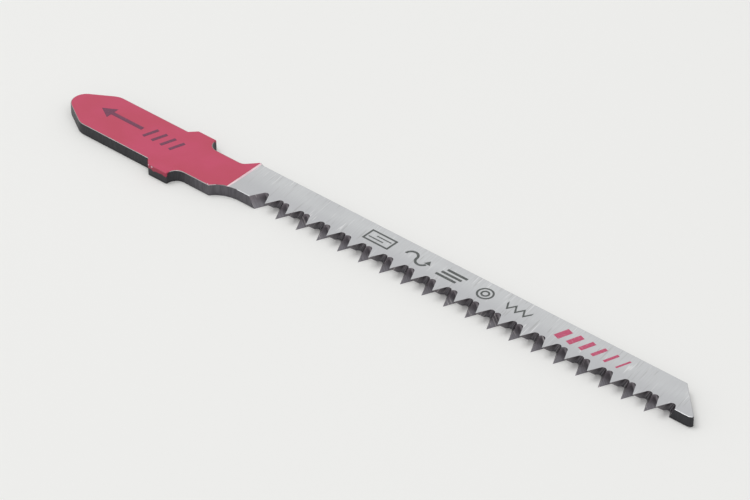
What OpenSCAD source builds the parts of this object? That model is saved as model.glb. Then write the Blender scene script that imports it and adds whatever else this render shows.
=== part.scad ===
// Jigsaw blade with a tabbed shank, for fine curved cuts in wood.
// The blade is one blanked strip of steel. It lies on its side: X runs along
// the blade to its free end, Y from the teeth to the back, Z through the
// strip. The origin is on the shank's centre line, at the drive shoulders of
// the two tabs, on the face that the blade lies on.

/* [Strip] */
// Thickness of the steel strip that the blade is blanked from
strip_t = 1.35; // [1.1:0.01:1.6]
// Radius that the blanking leaves on the small outer corners
corner_r = 0.15; // [0.05:0.01:0.25]

/* [Shank] */
// Length from the drive shoulders back to the rounded end of the shank
shank_l = 17.05; // [14:0.05:20]
// Width of the shank behind the tabs
shank_w = 6.26; // [5.5:0.02:7.2]
// Radius of the rounded end
nose_r = 1.6; // [1:0.1:2.2]
// Angle of the two slopes behind the rounded end to the blade's axis
nose_slope = 31; // [25:1:40]
// Radius where the slopes meet the sides of the shank
slope_r = 2; // [0.2:0.1:3]
// Width across the two tabs
tab_w = 7.85; // [7.5:0.05:8.8]
// Length of the tabs at their full width
tab_l = 2.6; // [1.5:0.05:3.5]
// Angle of the ramps that lead up to the tabs
tab_ramp = 45; // [35:1:60]

/* [Neck] */
// Width of the neck between the tabs and the body
neck_w = 5.1; // [4.4:0.05:5.6]
// Radius at the root of the drive shoulders
shoulder_r = 1.2; // [0.4:0.05:1.3]
// Angle of the rise from the neck to the back edge
rise_angle = 47; // [35:1:60]
// Radius at the root of that rise
rise_r = 1; // [0.4:0.1:1.4]
// Radius of the sweep from the neck down to the tooth edge
sweep_r = 3.5; // [2.2:0.1:4]

/* [Body] */
// Distance from the drive shoulders to the free end of the blade
reach = 65.8; // [55:0.05:80]
// Distance from the blade's axis up to the back edge
back_y = 3.93; // [3.6:0.01:4.4]
// Width of the body before the teeth are ground
body_w = 5.13; // [4.8:0.01:5.7]
// Distance from the drive shoulders to the start of the back edge
back_start = 6.15; // [5.3:0.05:8]
// Distance from the drive shoulders to the end of the sweep
edge_start = 7.45; // [6.8:0.05:8.4]
// Angle of the slanted free end to the blade's axis
end_slant = 46; // [35:1:60]
// Height of the plain stretch behind the last tooth above the tooth edge
end_step = 0.95; // [0.7:0.01:1.2]
// Length of the chamfer under the free end
end_chamfer_l = 0.35; // [0.2:0.01:0.6]
// Height of that chamfer
end_chamfer_h = 0.2; // [0.1:0.01:0.5]
// Height of the blunt face between the chamfer and the slant
end_blunt = 0.2; // [0.1:0.01:0.4]

/* [Teeth] */
// Distance from one tooth tip to the next, 18 teeth to the inch
tooth_pitch = 1.411; // [1.3:0.001:1.5]
// Distance from the drive shoulders to the middle of the first gullet
first_gullet_x = 10.62; // [9.6:0.01:14]
// Least distance from the middle of the last gullet to the free end
end_plain = 2.6; // [2.2:0.05:5]
// Depth of a gullet from the edge before grinding, which takes the edge down to sharp points
gullet_depth = 1.68; // [1.5:0.01:1.9]
// Angle between the two flanks of a gullet
gullet_angle = 53; // [46:1:58]
// Radius at the bottom of a gullet
gullet_r = 0.4; // [0.3:0.01:0.5]
// Angle at which each gullet is ground across the thickness, to alternate sides
bevel_angle = 27.4; // [15:0.1:35]

/* [Taper] */
// Thickness that the taper grinding leaves at the back edge
back_t = 1; // [0.7:0.01:1.2]
// Distance from the drive shoulders to the start of the ground faces
ground_start = 6.3; // [6:0.05:9]
// Length over which the corner of the wheel lets the ground faces run out
runout_l = 0.35; // [0.2:0.05:3]
// Distance beyond the tooth edge at which the ground faces would meet the full thickness
ground_margin = 0.2; // [0.1:0.05:1]

/* [Coat] */
// Thickness of the paint on the upper face of the shank
coat_t = 0.04; // [0.02:0.01:0.1]
// Width of the bare rim that the paint leaves along the rounded edges
coat_rim = 0.08; // [0.05:0.01:0.3]
// Distance from the straight end of the paint to the start of the ground faces
coat_gap = 0.05; // [0.05:0.05:4]

/* [Hidden] */
arc_step = 15;
over = 1;
tooth_y = back_y - body_w;
ramp_l = (tab_w - shank_w) / 2 / tan(tab_ramp);
apex_x = nose_r - shank_l - nose_r / sin(nose_slope);
slope_x = apex_x + shank_w / 2 / tan(nose_slope);
rise_x = back_start - (back_y - neck_w / 2) / tan(rise_angle);
sweep_turn = acos((tooth_y + neck_w / 2 - sweep_r) / -sweep_r);
gullet_count = floor((reach - end_plain - first_gullet_x) / tooth_pitch) + 1;
last_gullet_x = first_gullet_x + (gullet_count - 1) * tooth_pitch;
plain_y = tooth_y + end_step;
blunt_y = plain_y + end_chamfer_h + end_blunt;
slant_x = reach - (back_y - blunt_y) / tan(end_slant);
ground_drop = (strip_t - back_t) / 2;
ground_tilt = atan(ground_drop / (body_w + ground_margin));
ground_ramp = atan(ground_drop / runout_l);
coat_end = ground_start - coat_gap;

function unit(v) = v / norm(v);

// Points of an arc about a centre, from one angle to another
function arc(centre, r, from, to) =
    let (n = ceil(abs(to - from) / arc_step))
    [for (i = [0:n]) let (a = from + (to - from) * i / n) centre + r * [cos(a), sin(a)]];

// The rounded corner at b between a and c, with its radius kept within the two sides
function corner(a, b, c, r) =
    let (
        u = unit(a - b),
        v = unit(c - b),
        half = acos(u * v) / 2,
        fit = min(r, 0.85 * min(norm(a - b), norm(c - b)) * tan(half)),
        centre = b + unit(u + v) * fit / sin(half),
        start = b + u * fit / tan(half) - centre,
        turn = (u.x * v.y - u.y * v.x > 0 ? -1 : 1) * (180 - 2 * half),
        from = atan2(start.y, start.x)
    )
    r > 0 ? arc(centre, fit, from, from + turn) : [b];

function xy(p) = [p.x, p.y];

// The closed outline through a list of corners, each given as [x, y, radius]
function rounded(list) =
    let (n = len(list))
    [
        for (i = [0:n - 1])
        each corner(xy(list[(i + n - 1) % n]), xy(list[i]), xy(list[(i + 1) % n]), list[i].z)
    ];

// Corners of the shank's upper side, from the rounded end to the root of the drive shoulder
shank_side = [
    [slope_x, shank_w / 2, slope_r],
    [-tab_l - ramp_l, shank_w / 2, corner_r],
    [-tab_l, tab_w / 2, corner_r],
    [0, tab_w / 2, corner_r],
    [0, neck_w / 2, shoulder_r]
];

sweep = [
    for (p = arc([edge_start, tooth_y - sweep_r], sweep_r, 90 + sweep_turn, 90))
    [p.x, p.y, p.y + neck_w / 2 < 0.001 ? corner_r : 0]
];

body_side = [
    [last_gullet_x, tooth_y, 0],
    [last_gullet_x, plain_y, 0],
    [reach - end_chamfer_l, plain_y, corner_r],
    [reach, plain_y + end_chamfer_h, corner_r],
    [reach, blunt_y, corner_r],
    [slant_x, back_y, corner_r],
    [back_start, back_y, corner_r],
    [rise_x, neck_w / 2, rise_r]
];

module blank_outline() {
    polygon(rounded(concat(
        [[apex_x, 0, nose_r]],
        [for (p = shank_side) [p.x, -p.y, p.z]],
        sweep,
        body_side,
        [for (i = [len(shank_side) - 1:-1:0]) shank_side[i]]
    )));
}

// Section of the grinding wheel: two flanks and a round nose, with its tip on the X axis
module wheel_section() {
    half = gullet_angle / 2;
    squeeze = cos(bevel_angle);
    nose = arc([0, -gullet_r], gullet_r, half, 180 - half);
    mouth = gullet_depth + over;
    spread = gullet_r / cos(half) + (mouth - gullet_r) * tan(half);
    polygon([
        for (p = concat([[spread, -mouth]], nose, [[-spread, -mouth]]))
        [p.x * squeeze, p.y]
    ]);
}

// Each gullet leans across the thickness, by turns one way and the other,
// so every second tooth has its point on the upper face and the rest on the lower
module gullets() {
    for (i = [0:gullet_count - 1])
        translate([first_gullet_x + i * tooth_pitch, tooth_y + gullet_depth, strip_t / 2])
            rotate([0, i % 2 == 0 ? -bevel_angle : bevel_angle, 0])
                linear_extrude(height = 3 * strip_t, center = true)
                    wheel_section();
}

// What the wheel takes off one face: it thins the body towards the back edge,
// and its corner leaves a short ramp in front of the neck
module ground_face() {
    cut_l = reach - ground_start + over;
    cut_w = body_w + ground_margin + over;
    cut_h = over + (cut_l + over) * sin(ground_ramp);
    intersection() {
        translate([ground_start, tooth_y - ground_margin, strip_t])
            rotate([-ground_tilt, 0, 0])
                cube([cut_l, cut_w, cut_h]);
        translate([ground_start, tooth_y - over, strip_t])
            rotate([0, ground_ramp, 0])
                cube([cut_l + over, cut_w + over, cut_h]);
    }
}

// The steel blade: blanked strip, taper ground on both faces, teeth ground last
module blade() {
    color([0.72, 0.71, 0.70])
        difference() {
            linear_extrude(height = strip_t)
                blank_outline();
            ground_face();
            translate([0, 0, strip_t])
                mirror([0, 0, 1])
                    ground_face();
            gullets();
        }
}

// The paint on the upper face of the shank and the neck. It leaves the rounded
// edges bare, and ends in a straight line where the ground faces start
module shank_coat() {
    color([0.70, 0.16, 0.22])
        translate([0, 0, strip_t])
            linear_extrude(height = coat_t)
                intersection() {
                    offset(delta = -coat_rim)
                        blank_outline();
                    translate([-shank_l - over, -tab_w])
                        square([shank_l + over + coat_end, 2 * tab_w]);
                }
}

blade();
shank_coat();
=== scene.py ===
"""A narrow jigsaw blade with a painted tabbed shank, lying on a pale floor.

The blade is one strip of tool steel: blanked to its outline, ground thin
towards its back, its teeth ground last, and its shank painted on one face.
"""
import math

import bmesh
import bpy
from mathutils import Matrix, Vector


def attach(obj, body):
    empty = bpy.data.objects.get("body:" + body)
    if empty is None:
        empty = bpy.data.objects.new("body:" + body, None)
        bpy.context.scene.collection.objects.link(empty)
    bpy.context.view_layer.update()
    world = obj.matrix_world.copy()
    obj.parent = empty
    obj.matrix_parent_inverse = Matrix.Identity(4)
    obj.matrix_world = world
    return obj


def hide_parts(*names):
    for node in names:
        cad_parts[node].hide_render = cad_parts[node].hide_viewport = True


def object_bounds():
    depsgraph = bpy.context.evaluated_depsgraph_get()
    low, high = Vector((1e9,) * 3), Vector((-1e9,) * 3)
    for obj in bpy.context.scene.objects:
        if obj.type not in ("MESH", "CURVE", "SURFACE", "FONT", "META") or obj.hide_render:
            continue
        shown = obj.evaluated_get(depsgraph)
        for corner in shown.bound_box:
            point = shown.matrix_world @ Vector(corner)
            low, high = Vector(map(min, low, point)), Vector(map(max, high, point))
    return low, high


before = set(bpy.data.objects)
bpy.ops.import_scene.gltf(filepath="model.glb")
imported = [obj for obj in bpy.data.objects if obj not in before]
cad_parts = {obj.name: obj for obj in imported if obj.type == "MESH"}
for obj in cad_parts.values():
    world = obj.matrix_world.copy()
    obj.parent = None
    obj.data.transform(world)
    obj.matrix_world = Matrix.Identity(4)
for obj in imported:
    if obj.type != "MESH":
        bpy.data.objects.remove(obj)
cad_low, cad_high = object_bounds()


# The camera
# It stands where the photographer's did, to the side of the teeth and above them,
# and is only aimed and zoomed closer, so that the blade fills the picture.
MM = 0.001
CAMERA_AT = Vector((235.73, -242.89, 246.68)) * MM
CAMERA_SIDE = Vector((0.75762, 0.65267, -0.00555))
PHOTO_LENS = 132.6
CLOSER = 1.44
LOOK_AT = Vector((24.6, 0.9, 0.7)) * MM

forward = (LOOK_AT - CAMERA_AT).normalized()
upward = CAMERA_SIDE.cross(forward).normalized()
sideways = forward.cross(upward).normalized()
camera_data = bpy.data.cameras.new("camera")
camera_data.lens = PHOTO_LENS * CLOSER
camera_data.clip_start = 0.01
camera_data.clip_end = 20
camera = bpy.data.objects.new("camera", camera_data)
turned = Matrix((sideways, upward, -forward)).transposed().to_4x4()
camera.matrix_world = Matrix.Translation(CAMERA_AT) @ turned
bpy.context.scene.collection.objects.link(camera)
bpy.context.scene.camera = camera


# The steel blade
# One strip of high carbon steel. The blanking leaves dark, slightly rounded sides,
# the taper grinding leaves bright faces, and the teeth are ground across them.
STRIP_T = 1.35 * MM
COAT_END = 6.25 * MM
FILM_END = 6.46 * MM
TEETH_FROM = 9.2 * MM
TEETH_TO = 64.3 * MM
TEETH_BELOW = 1 * MM
TAB_FROM = -3.3 * MM
TAB_SIDE = 3.2 * MM
BEVEL_ANGLE = math.radians(27.4)
SCRATCH_LEAN = math.radians(8)
EDGE_ROUND = 0.07 * MM
FLATTEST_SIDE = 0.85
STEEPEST_FACE = 0.97
GROUND_CORNER = Vector((6.3, -1.4)) * MM


def open_copy(node):
    """A bmesh of a CAD node, with its loose triangles joined into whole faces."""
    shape = bmesh.new()
    shape.from_mesh(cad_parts[node].data)
    bmesh.ops.remove_doubles(shape, verts=shape.verts, dist=0.0005 * MM)
    bmesh.ops.dissolve_limit(
        shape, angle_limit=math.radians(0.4), verts=shape.verts, edges=shape.edges
    )
    return shape


def finished(name, shape, materials, body="root"):
    """An object at the origin made of a bmesh, curved only round the sides, on its body."""
    shape.normal_update()
    for edge in shape.edges:
        edge.smooth = edge.calc_face_angle(math.pi) < math.radians(20)
    for face in shape.faces:
        face.smooth = abs(face.normal.z) < FLATTEST_SIDE
    mesh = bpy.data.meshes.new(name)
    shape.to_mesh(mesh)
    shape.free()
    for material in materials:
        mesh.materials.append(material)
    piece = bpy.data.objects.new(name, mesh)
    bpy.context.scene.collection.objects.link(piece)
    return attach(piece, body)


def linear(hex_colour):
    """A linear colour from an sRGB hex value."""
    parts = [int(hex_colour[i:i + 2], 16) / 255 for i in (1, 3, 5)]
    return [p / 12.92 if p < 0.04045 else ((p + 0.055) / 1.055) ** 2.4 for p in parts] + [1]


def add(tree, kind, inputs=None, **settings):
    """A node with its settings, and its inputs as values or as sockets to link."""
    node = tree.nodes.new("ShaderNode" + kind)
    for name, value in settings.items():
        setattr(node, name, value)
    for key, value in (inputs or {}).items():
        if isinstance(value, bpy.types.NodeSocket):
            tree.links.new(value, node.inputs[key])
        else:
            node.inputs[key].default_value = value
    return node


def new_material(name):
    """A material with only its surface shader."""
    material = bpy.data.materials.new(name)
    material.use_nodes = True
    tree = material.node_tree
    tree.nodes.clear()
    shader = add(tree, "BsdfPrincipled")
    add(tree, "OutputMaterial", {"Surface": shader.outputs["BSDF"]})
    return material, tree, shader


def wheel_marks(tree, across, along, start, detail=3):
    """Noise drawn out along the grinding, with so many marks per millimetre each way."""
    grain = add(tree, "UVMap", uv_map="grain")
    drawn_out = add(
        tree, "Mapping",
        {"Vector": grain.outputs["UV"], "Location": (start, start, 0), "Scale": (across, along, 1)},
    )
    return add(
        tree, "TexNoise",
        {"Vector": drawn_out.outputs["Vector"], "Scale": 1, "Detail": detail, "Roughness": 0.6},
        noise_dimensions="2D",
    ).outputs["Fac"]


def blotches(tree, size, start=0):
    """Soft patches about as wide as the size."""
    place = add(tree, "TexCoord").outputs["Object"]
    moved = add(tree, "Mapping", {"Vector": place, "Location": (start, start, start)})
    return add(
        tree, "TexNoise",
        {"Vector": moved.outputs["Vector"], "Scale": 1 / size, "Detail": 2, "Roughness": 0.5},
    ).outputs["Fac"]


def place_along(tree, axis):
    """A point's place along one axis of the blade, in metres."""
    place = add(tree, "TexCoord").outputs["Object"]
    return add(tree, "SeparateXYZ", {"Vector": place}).outputs[axis]


def rising(tree, value, low, high):
    """A value turned into 0 below low, 1 above high and a soft step between."""
    return add(
        tree, "MapRange", {"Value": value, "From Min": low, "From Max": high},
        interpolation_type="SMOOTHSTEP",
    ).outputs["Result"]


def combined(tree, operation, first, second):
    """Two values put together by one operation."""
    return add(tree, "Math", {0: first, 1: second}, operation=operation).outputs["Value"]


def mixed(tree, factor, first, second):
    """A colour between two others."""
    return add(
        tree, "Mix", {0: factor, 6: first, 7: second}, data_type="RGBA", clamp_factor=True
    ).outputs[2]


def set_steel(tree, shader, colour, marks, roughness, depth):
    """Bare steel of a colour, whose marks also change its gloss and its relief."""
    tree.links.new(colour, shader.inputs["Base Color"])
    shader.inputs["Metallic"].default_value = 1
    gloss = add(
        tree, "MapRange",
        {
            "Value": marks, "From Min": 0.3, "From Max": 0.7,
            "To Min": roughness - 0.05, "To Max": roughness + 0.06,
        },
    )
    tree.links.new(gloss.outputs["Result"], shader.inputs["Roughness"])
    relief = add(tree, "Bump", {"Strength": 0.25, "Distance": depth, "Height": marks})
    tree.links.new(relief.outputs["Normal"], shader.inputs["Normal"])


# Taper ground tool steel: pale and dull, with fine marks nearly across the blade,
# a few deeper scratches among them, slow changes of tone along its length,
# and a slightly darker tone towards the teeth.
ground_steel, tree, shader = new_material("ground tool steel")
fine_marks = wheel_marks(tree, 7, 0.2, 3)
tone = mixed(tree, rising(tree, fine_marks, 0.3, 0.7), linear("#C0C2C3"), linear("#BABBBC"))
towards_teeth = rising(tree, place_along(tree, "Y"), 3.2 * MM, 0.2 * MM)
patchy = combined(tree, "MULTIPLY", rising(tree, blotches(tree, 5 * MM), 0.3, 0.7), 0.5)
# Darker in soft patches and towards the teeth.
darker_in_patches_and_towards_teeth = combined(tree, "MAXIMUM", combined(tree, "MULTIPLY", towards_teeth, 0.95), patchy)
tone = mixed(tree, darker_in_patches_and_towards_teeth, tone, linear("#B1B2B4"))
dark_scratches = rising(tree, wheel_marks(tree, 5, 0.3, 17, detail=0), 0.77, 0.82)
tone = mixed(tree, combined(tree, "MULTIPLY", dark_scratches, 0.4), tone, linear("#969694"))
bright_scratches = rising(tree, wheel_marks(tree, 5.5, 0.26, 58, detail=0), 0.78, 0.83)
tone = mixed(tree, combined(tree, "MULTIPLY", bright_scratches, 0.45), tone, linear("#DCDCDC"))
set_steel(tree, shader, tone, fine_marks, roughness=0.42, depth=0.003 * MM)

# Ground gullets: bright steel coloured dark as a painted reflection of dark surroundings,
# nearly plain under the upper face, with the wheel's coarser marks running through the
# strip, a little paler towards the lower face as more painted reflection, and painted
# glints on some flanks.
gullet_steel, tree, shader = new_material("ground gullets")
coarse_marks = wheel_marks(tree, 9, 0.3, 5)
# Painted reflection: darker high under the upper face, paler towards the lower face.
height = rising(tree, place_along(tree, "Z"), 0.2 * MM, STRIP_T)
tone = mixed(tree, height, linear("#858388"), linear("#777176"))
shaded = rising(tree, coarse_marks, 0.35, 0.65)
tone = mixed(tree, combined(tree, "MULTIPLY", shaded, 0.35), tone, linear("#5D585C"))
# Painted glints: pale streaks on some flanks in place of highlights on their edges.
painted_glints = rising(tree, wheel_marks(tree, 3.1, 0.2, 29), 0.64, 0.72)
tone = mixed(tree, combined(tree, "MULTIPLY", painted_glints, 0.6), tone, linear("#CFCBC9"))
set_steel(tree, shader, tone, coarse_marks, roughness=0.38, depth=0.006 * MM)

# Hardened blanked edge: the shank's sides are nearly black, partly from scale and partly
# painted shade. They are browner and paler round the neck, which is painted light on the
# turning sweep, and dark again at the free end.
blanked_steel, tree, shader = new_material("hardened blanked edge")
shear_marks = wheel_marks(tree, 5, 0.5, 11)
# Painted light: the sides turn paler between the neck and the free end.
towards_body = rising(tree, place_along(tree, "X"), -1 * MM, 5 * MM)
before_end = rising(tree, place_along(tree, "X"), 60 * MM, 40 * MM)
paler = combined(tree, "MULTIPLY", towards_body, before_end)
tone = mixed(tree, paler, linear("#444447"), linear("#6A686D"))
shaded = rising(tree, shear_marks, 0.3, 0.7)
tone = mixed(tree, combined(tree, "MULTIPLY", shaded, 0.3), tone, linear("#353335"))
set_steel(tree, shader, tone, shear_marks, roughness=0.48, depth=0.003 * MM)

# Rolled strip: the faces of the shank, which no wheel has touched, with soft marks
# along the rolling, a little darker than the ground steel.
rolled_steel, tree, shader = new_material("rolled strip")
rolling_marks = wheel_marks(tree, 3, 0.15, 41)
tone = mixed(tree, rising(tree, rolling_marks, 0.3, 0.7), linear("#9A9998"), linear("#929090"))
set_steel(tree, shader, tone, rolling_marks, roughness=0.45, depth=0.002 * MM)

# Paint thinned out to a pale pink film, where the wheel met the end of the coat.
thin_film, tree, shader = new_material("thin film of paint")
film_patches = rising(tree, blotches(tree, 0.6 * MM), 0.3, 0.7)
tone = mixed(tree, film_patches, linear("#EFD8DC"), linear("#E5C3CB"))
tree.links.new(tone, shader.inputs["Base Color"])
shader.inputs["Roughness"].default_value = 0.4


def ragged_spots(tree, spots):
    """1 inside small ragged spots, each given by its centre and radius in mm, else 0."""
    place = add(tree, "TexCoord").outputs["Object"]
    ragged = combined(tree, "MULTIPLY", blotches(tree, 0.12 * MM), 0.16 * MM)
    inside = 0
    for centre, radius in spots:
        away = add(
            tree, "VectorMath", {0: place, 1: Vector(centre) * MM}, operation="DISTANCE"
        ).outputs["Value"]
        rough_away = combined(tree, "ADD", away, ragged)
        spot = combined(tree, "LESS_THAN", rough_away, (radius + 0.09) * MM)
        inside = combined(tree, "MAXIMUM", inside, spot)
    return inside


# Paint that has run over the rims of the tabs and dried unevenly on their sides,
# in a deeper red that is painted shade, with painted highlights at one corner.
# Painted highlights: pale pink spots on the rim at one corner of the tab.
PAINTED_RIM_HIGHLIGHTS = [((-2.08, -3.92, 1.25), 0.11), ((-2.55, -3.9, 1.32), 0.07)]
run_paint, tree, shader = new_material("paint run over the rim")
lower_rim = combined(tree, "MULTIPLY", blotches(tree, 0.5 * MM), 0.9 * MM)
covered = rising(
    tree, combined(tree, "SUBTRACT", place_along(tree, "Z"), lower_rim), 0.42 * MM, 0.52 * MM
)
# Painted shade: the paint on the sides is a deeper red than the coat; below it the side keeps the
# near-black of the blanked edge.
tone = mixed(tree, covered, linear("#444447"), linear("#A42444"))
tone = mixed(tree, ragged_spots(tree, PAINTED_RIM_HIGHLIGHTS), tone, linear("#D3A6B6"))
tree.links.new(tone, shader.inputs["Base Color"])
tree.links.new(combined(tree, "SUBTRACT", 1, covered), shader.inputs["Metallic"])
shader.inputs["Roughness"].default_value = 0.42

blade_shape = open_copy("blade")
taper_face = max(
    (f for f in blade_shape.faces if f.normal.z > 0.9 and f.normal.y > 0.01),
    key=lambda face: face.calc_area(),
)
taper_normal = taper_face.normal.copy()
taper_point = taper_face.verts[0].co.copy()


def of_outline(edge):
    """Whether an edge lies between a face of the strip and its blanked side."""
    middle = (edge.verts[0].co + edge.verts[1].co) / 2
    in_teeth = TEETH_FROM < middle.x < TEETH_TO and middle.y < TEETH_BELOW
    in_corner = any((v.co.xy - GROUND_CORNER).length < EDGE_ROUND for v in edge.verts)
    flat = [abs(f.normal.z) > FLATTEST_SIDE for f in edge.link_faces]
    return sum(flat) == 1 and not in_teeth and not in_corner


bmesh.ops.bevel(
    blade_shape, geom=[e for e in blade_shape.edges if of_outline(e)], offset=EDGE_ROUND,
    segments=2, profile=0.5, affect="EDGES", material=-1, clamp_overlap=False,
)
for cut in (TAB_FROM, 0, COAT_END, FILM_END):
    everything = blade_shape.verts[:] + blade_shape.edges[:] + blade_shape.faces[:]
    bmesh.ops.bisect_plane(
        blade_shape, geom=everything, dist=0.0001 * MM, plane_co=(cut, 0, 0), plane_no=(1, 0, 0)
    )
blade_shape.normal_update()
grain = blade_shape.loops.layers.uv.new("grain")
FINISHES = [ground_steel, gullet_steel, blanked_steel, rolled_steel, thin_film, run_paint]


def finish_of(normal, middle):
    """The finish of a face of the blade, by the way it faces and its place."""
    on_tab = TAB_FROM < middle.x < 0 and abs(middle.y) > TAB_SIDE
    if on_tab and -FLATTEST_SIDE < normal.z < STEEPEST_FACE:
        return run_paint
    if abs(normal.z) > FLATTEST_SIDE:
        if COAT_END < middle.x < FILM_END and middle.z > STRIP_T / 2:
            return thin_film
        return rolled_steel if middle.x < FILM_END else ground_steel
    if TEETH_FROM < middle.x < TEETH_TO and middle.y < TEETH_BELOW and abs(normal.x) > 0.02:
        return gullet_steel
    return blanked_steel


for face in blade_shape.faces:
    normal = face.normal
    finish = finish_of(normal, face.calc_center_median())
    face.material_index = FINISHES.index(finish)
    if finish == gullet_steel:
        leans = [Vector((s * math.sin(BEVEL_ANGLE), 0, math.cos(BEVEL_ANGLE))) for s in (-1, 1)]
        along = min(leans, key=lambda lean: abs(lean.dot(normal)))
    elif finish == rolled_steel:
        along = Vector((1, 0, 0))
    elif abs(normal.z) > FLATTEST_SIDE:
        along = Vector((-math.sin(SCRATCH_LEAN), math.cos(SCRATCH_LEAN), 0))
    else:
        along = Vector((0, 0, 1))
    across = normal.cross(along).normalized()
    for loop in face.loops:
        loop[grain].uv = (loop.vert.co.dot(across) / MM, loop.vert.co.dot(along) / MM)

blade = finished("blade_steel", blade_shape, FINISHES)
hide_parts("blade")


# The paint on the shank
# A thin coat of red enamel, rolled on after grinding. It ends in a straight line
# across the neck, its rim is rounded where it dried, and it has a painted highlight on the
# rim at the neck.
COAT_ROUND = 0.025 * MM
INK_T = 0.008 * MM
# Painted highlight: pale pink spots on the paint's rim at the neck.
PAINTED_COAT_HIGHLIGHTS = [((4.5, -2.43, 1.38), 0.08), ((4.3, -2.45, 1.38), 0.05)]

red_enamel, tree, shader = new_material("red enamel")
mottle = rising(tree, blotches(tree, 4 * MM), 0.3, 0.7)
tint = mixed(tree, mottle, linear("#BF3A5E"), linear("#B93654"))
tint = mixed(tree, ragged_spots(tree, PAINTED_COAT_HIGHLIGHTS), tint, linear("#D3A6B6"))
tree.links.new(tint, shader.inputs["Base Color"])
shader.inputs["Roughness"].default_value = 0.38
skin = add(
    tree, "Bump", {"Strength": 0.12, "Distance": 0.01 * MM, "Height": blotches(tree, 0.35 * MM)}
)
tree.links.new(skin.outputs["Normal"], shader.inputs["Normal"])

coat_shape = open_copy("shank_coat")
rim = [
    e for e in coat_shape.edges
    if len(e.link_faces) == 2
    and max(f.normal.z for f in e.link_faces) > 0.9
    and min(abs(f.normal.z) for f in e.link_faces) < 0.1
]
top = [v for v in coat_shape.verts if v.co.z > STRIP_T + COAT_ROUND / 2]
bmesh.ops.translate(coat_shape, verts=top, vec=(0, 0, -INK_T))
bmesh.ops.bevel(
    coat_shape, geom=rim, offset=COAT_ROUND, segments=2, profile=0.5,
    affect="EDGES", material=-1, clamp_overlap=True,
)
coat = finished("red_coat", coat_shape, [red_enamel])
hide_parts("shank_coat")


# The mark on the shank
# Flat purple ink, printed on the paint in one pass: an arrow towards the end that
# goes into the holder, and four slanted strokes behind it.
COAT_TOP = cad_high[2]
SHANK_MARK_Y = 0.35
STROKE_LEAN = math.radians(72)


def bar(shape, centre, length, width, turn=0):
    """A flat bar about a centre, with its length turned from the blade's axis."""
    made = bmesh.ops.create_grid(shape, x_segments=1, y_segments=1, size=0.5 * MM)
    bmesh.ops.scale(shape, verts=made["verts"], vec=(length, width, 1))
    bmesh.ops.rotate(shape, verts=made["verts"], matrix=Matrix.Rotation(turn, 3, "Z"))
    bmesh.ops.translate(shape, verts=made["verts"], vec=Vector((*centre, 0)) * MM)


def bow(shape, centre, radius, width, start, sweep):
    """A flat strip bent round a centre, from one angle through another."""
    first = Matrix.Rotation(start, 3, "Z") @ Vector((1, 0, 0))
    middle = Vector((*centre, 0)) * MM
    ends = [shape.verts.new(middle + first * (radius + s * width / 2) * MM) for s in (-1, 1)]
    bmesh.ops.spin(
        shape, geom=[*ends, shape.edges.new(ends)], cent=middle, axis=(0, 0, 1), dvec=(0, 0, 0),
        angle=sweep, steps=math.ceil(abs(sweep) * 5), use_merge=abs(sweep) > 6.28,
    )


def point(shape, centre, size, turn):
    """A flat three-cornered head about a centre, turned from the blade's axis."""
    made = bmesh.ops.create_circle(shape, cap_ends=True, segments=3, radius=size * MM)
    upright = Matrix.Rotation(turn - math.pi / 2, 3, "Z")
    bmesh.ops.rotate(shape, verts=made["verts"], matrix=upright)
    bmesh.ops.translate(shape, verts=made["verts"], vec=Vector((*centre, 0)) * MM)


def zigzag(shape, start, step, rise, strokes, width):
    """A flat band that climbs and falls by turns from its start."""
    ends = [shape.verts.new(Vector((start[0], start[1] + s * width / 2, 0)) * MM) for s in (-1, 1)]
    edge = shape.edges.new(ends)
    for i in range(strokes):
        made = bmesh.ops.extrude_edge_only(shape, edges=[edge])["geom"]
        moved = [part for part in made if isinstance(part, bmesh.types.BMVert)]
        way = Vector((step, rise if i % 2 == 0 else -rise, 0))
        bmesh.ops.translate(shape, verts=moved, vec=way * MM)
        edge = shape.edges.get(moved)


def printed(name, shape, ink, seat):
    """A flat drawing given the ink's thickness and laid on a face of the blade."""
    bmesh.ops.remove_doubles(shape, verts=shape.verts, dist=0.001 * MM)
    for face in shape.faces:
        if face.normal.z < 0:
            face.normal_flip()
    raised = bmesh.ops.extrude_face_region(shape, geom=shape.faces[:])["geom"]
    raised = [v for v in raised if isinstance(v, bmesh.types.BMVert)]
    bmesh.ops.translate(shape, verts=raised, vec=(0, 0, INK_T))
    for vert in shape.verts:
        vert.co.z += seat(vert.co)
    bmesh.ops.recalc_face_normals(shape, faces=shape.faces)
    return finished(name, shape, [ink])


def new_ink(name, colour, worn):
    """A flat printing ink, thin in places."""
    ink, tree, shader = new_material(name)
    thin = rising(tree, blotches(tree, 0.2 * MM), 0.5, 0.75)
    tone = mixed(tree, combined(tree, "MULTIPLY", thin, 0.6), linear(colour), linear(worn))
    tree.links.new(tone, shader.inputs["Base Color"])
    shader.inputs["Roughness"].default_value = 0.6
    return ink


purple_ink = new_ink("purple printing ink", "#66304A", "#8A4259")
mark_shape = bmesh.new()
point(mark_shape, (-12.3, SHANK_MARK_Y), 1.05, math.pi)
bar(mark_shape, (-9.57, SHANK_MARK_Y), 4.4, 0.5)
for i in range(4):
    bar(mark_shape, (-6.2 + 1.25 * i, SHANK_MARK_Y), 1.9, 0.42, STROKE_LEAN)
shank_mark = printed("shank_mark", mark_shape, purple_ink, lambda place: COAT_TOP - INK_T)


# The marks on the body
# Flat dark ink on the ground face: five plain pictures, of a board, a curved cut,
# thin sheets, end grain and fine teeth, in a row between the neck and the free end.
PICTURE_Y = 2.05
LINE_W = 0.22


def on_taper(place):
    """How high the ground face lies at a place of the blade."""
    along = taper_normal.x * (place.x - taper_point.x)
    over = taper_normal.y * (place.y - taper_point.y)
    return taper_point.z - (along + over) / taper_normal.z


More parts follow.
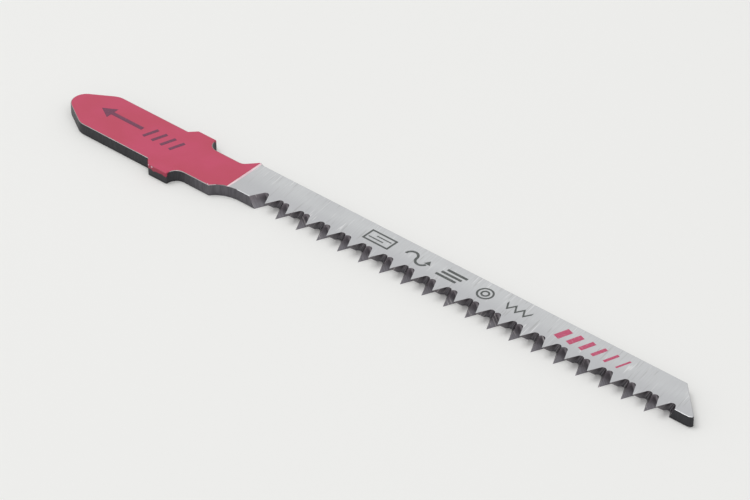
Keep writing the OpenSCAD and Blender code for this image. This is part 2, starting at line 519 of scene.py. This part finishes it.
dark_ink = new_ink("dark printing ink", "#484C4A", "#7A7D7C")
board = (24.3, PICTURE_Y)
curved_cut = (29.2, PICTURE_Y)
sheets = (33.8, PICTURE_Y)
end_grain = (38.2, PICTURE_Y)
fine_teeth = (42.4, PICTURE_Y)
picture_shape = bmesh.new()
for side in (-1, 1):
    bar(picture_shape, (board[0], board[1] + 0.8 * side), 3.4, LINE_W)
    bar(picture_shape, (board[0] + 1.59 * side, board[1]), 1.36, LINE_W, math.pi / 2)
    bar(picture_shape, (board[0] + 0.35 * side, board[1] + 0.25 * side), 1.9, LINE_W * 0.7)
bow(picture_shape, (curved_cut[0] - 0.72, curved_cut[1]), 0.72, LINE_W * 1.3, math.pi, -math.pi)
bow(picture_shape, (curved_cut[0] + 0.72, curved_cut[1]), 0.72, LINE_W * 1.3, math.pi, math.pi * 0.9)
point(picture_shape, (curved_cut[0] + 1.44, curved_cut[1] + 0.1), 0.45, math.pi / 2)
for layer in (-1, 0, 1):
    bar(picture_shape, (sheets[0] + 0.3 * layer, sheets[1] + 0.6 * layer), 2.6, LINE_W * 1.5)
for radius in (0.4, 0.85):
    bow(picture_shape, end_grain, radius, LINE_W, 0, 2 * math.pi)
teeth_start = (fine_teeth[0] - 1.56, fine_teeth[1] + 0.45)
zigzag(picture_shape, teeth_start, step=0.52, rise=-0.9, strokes=6, width=LINE_W * 1.8)
pictures = printed("body_pictures", picture_shape, dark_ink, on_taper)


# The stripes near the free end
# Rose ink of the same printing, in slanted stripes that grow thinner towards the end.
STRIPES = 6
STRIPE_PITCH = 1.5

rose_ink = new_ink("rose printing ink", "#B84668", "#C28696")
stripe_shape = bmesh.new()
for i in range(STRIPES):
    width = 0.8 - 0.11 * i
    bar(stripe_shape, (48.2 + STRIPE_PITCH * i, PICTURE_Y), 1.8, width, STROKE_LEAN)
stripes = printed("body_stripes", stripe_shape, rose_ink, on_taper)


# The floor and the light
# A plain pale floor, a broad soft lamp behind the back edge and a weaker one in front.
floor_shape = bmesh.new()
bmesh.ops.create_grid(floor_shape, x_segments=1, y_segments=1, size=1.5)
floor_mesh = bpy.data.meshes.new("floor")
floor_shape.to_mesh(floor_mesh)
floor_shape.free()
floor = bpy.data.objects.new("floor", floor_mesh)
bpy.context.scene.collection.objects.link(floor)
paper, tree, shader = new_material("pale paper")
shader.inputs["Base Color"].default_value = linear("#F2F2F0")
shader.inputs["Roughness"].default_value = 0.9
shader.inputs["Specular IOR Level"].default_value = 0.1
floor_mesh.materials.append(paper)


def soft_lamp(name, azimuth, elevation, distance, size, power):
    """A square soft lamp that looks at the middle of the blade."""
    data = bpy.data.lights.new(name, "AREA")
    data.size = size
    data.energy = power
    lamp = bpy.data.objects.new(name, data)
    turn, rise = math.radians(azimuth), math.radians(elevation)
    flat = math.cos(rise)
    away = Vector((flat * math.cos(turn), flat * math.sin(turn), math.sin(rise)))
    lamp.location = LOOK_AT + away * distance
    lamp.rotation_euler = away.to_track_quat("Z", "Y").to_euler()
    bpy.context.scene.collection.objects.link(lamp)


soft_lamp("key", azimuth=190, elevation=72, distance=0.9, size=0.6, power=3.3)
soft_lamp("fill", azimuth=-20, elevation=60, distance=1.0, size=0.8, power=1.5)

world = bpy.data.worlds.new("studio")
bpy.context.scene.world = world
world.use_nodes = True
tree = world.node_tree
tree.nodes.clear()
rays = add(tree, "LightPath")
seen = combined(tree, "MAXIMUM", rays.outputs["Is Camera Ray"], rays.outputs["Is Glossy Ray"])
through = combined(tree, "MAXIMUM", seen, rays.outputs["Is Transmission Ray"])
ambient = add(tree, "Background", {"Color": (1, 1, 1, 1), "Strength": 0.5})
white = add(tree, "Background", {"Color": (1, 1, 1, 1), "Strength": 1})
sky = add(tree, "MixShader", {0: through, 1: ambient.outputs[0], 2: white.outputs[0]})
add(tree, "OutputWorld", {"Surface": sky.outputs["Shader"]})
bpy.context.scene.view_settings.view_transform = "Standard"
